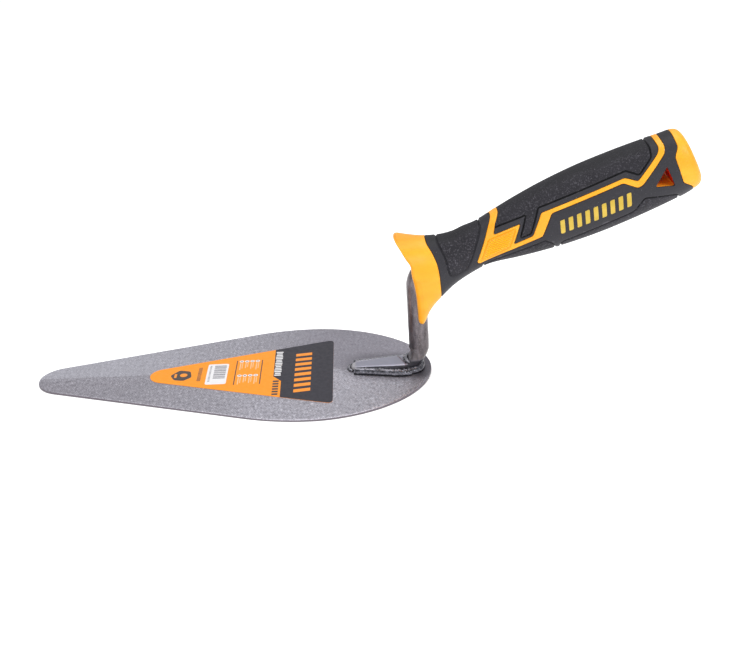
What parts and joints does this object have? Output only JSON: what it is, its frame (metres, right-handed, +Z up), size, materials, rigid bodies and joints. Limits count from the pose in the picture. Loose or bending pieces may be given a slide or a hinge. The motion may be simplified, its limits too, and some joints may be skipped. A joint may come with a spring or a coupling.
{
  "type": "brick trowel",
  "caption": "Pointed brick trowel: tapered steel blade, cranked forged shank and a two-colour overmoulded handle with finger guard and hang hole.",
  "frame": {"origin": "on the flat underside of the blade, on its centre line, directly below the neck", "axes": "+X from the blade's tip towards the handle's end, +Y to the left of that, +Z up from the blade towards the handle"},
  "size_m": [0.2933, 0.0918, 0.1074],
  "materials": {
    "blade_steel": "ground, fine cross-hatched brush lines",
    "forged_steel": "dark forged bar under clear lacquer",
    "weld_metal": "weld bead under clear lacquer, glossy",
    "label": "satin printed film",
    "yellow_plastic": "fine moulded satin",
    "soft_grip": "textured soft overmould"
  },
  "bodies": {
    "root": {"blade": "blade_steel", "shank": "forged_steel", "weld_toe": "weld_metal", "weld_left": "weld_metal", "weld_right": "weld_metal", "weld_heel": "weld_metal", "blade_label": "label", "handle_core": "yellow_plastic", "grip_body": "soft_grip", "grip_back_pad": "soft_grip"}
  },
  "joints": []
}
